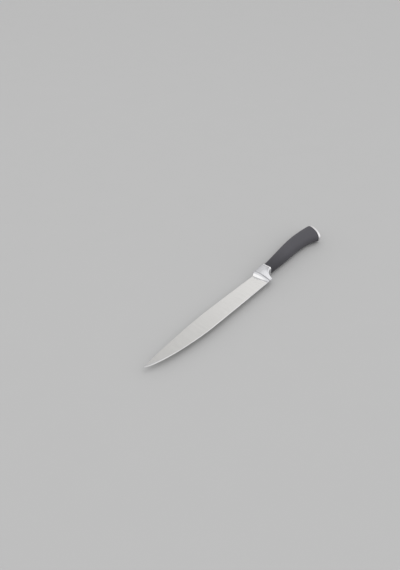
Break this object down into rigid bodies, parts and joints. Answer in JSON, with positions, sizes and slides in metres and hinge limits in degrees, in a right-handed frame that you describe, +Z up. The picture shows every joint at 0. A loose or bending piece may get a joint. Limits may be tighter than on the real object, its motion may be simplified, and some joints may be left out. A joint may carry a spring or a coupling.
{
  "type": "carving knife",
  "caption": "Slim carving knife: flat-ground steel blade with a curved belly, dished steel bolster, humped soft-touch grip and a slanted steel end cap.",
  "frame": {"origin": "centre of the bounding box's base, with the knife lying on its side", "axes": "+X from the point to the butt, +Y from the cutting edge to the spine, +Z up through the blade's thickness"},
  "size_m": [0.3299, 0.0303, 0.016],
  "materials": {
    "blade_steel": "satin, brushed across the blade, with a bright cutting bevel",
    "bolster_steel": "satin on the flanks, polished in the cove and on the lip",
    "cap_steel": "mirror polished",
    "tang_steel": "plain machined",
    "grip_soft": "fine matte soft-touch elastomer, slate grey",
    "core_plastic": "plain moulded",
    "seal_rubber": "plain black"
  },
  "bodies": {
    "root": {"blade": "blade_steel", "bolster": "bolster_steel", "front_seal": "seal_rubber", "tang_bar": "tang_steel", "tang_rivets": "tang_steel", "core_left": "core_plastic", "core_right": "core_plastic", "core_dowels": "tang_steel", "grip_shell": "grip_soft", "tang_washer": "tang_steel", "tang_nut": "tang_steel", "rear_seal": "seal_rubber", "end_cap": "cap_steel"}
  },
  "joints": []
}
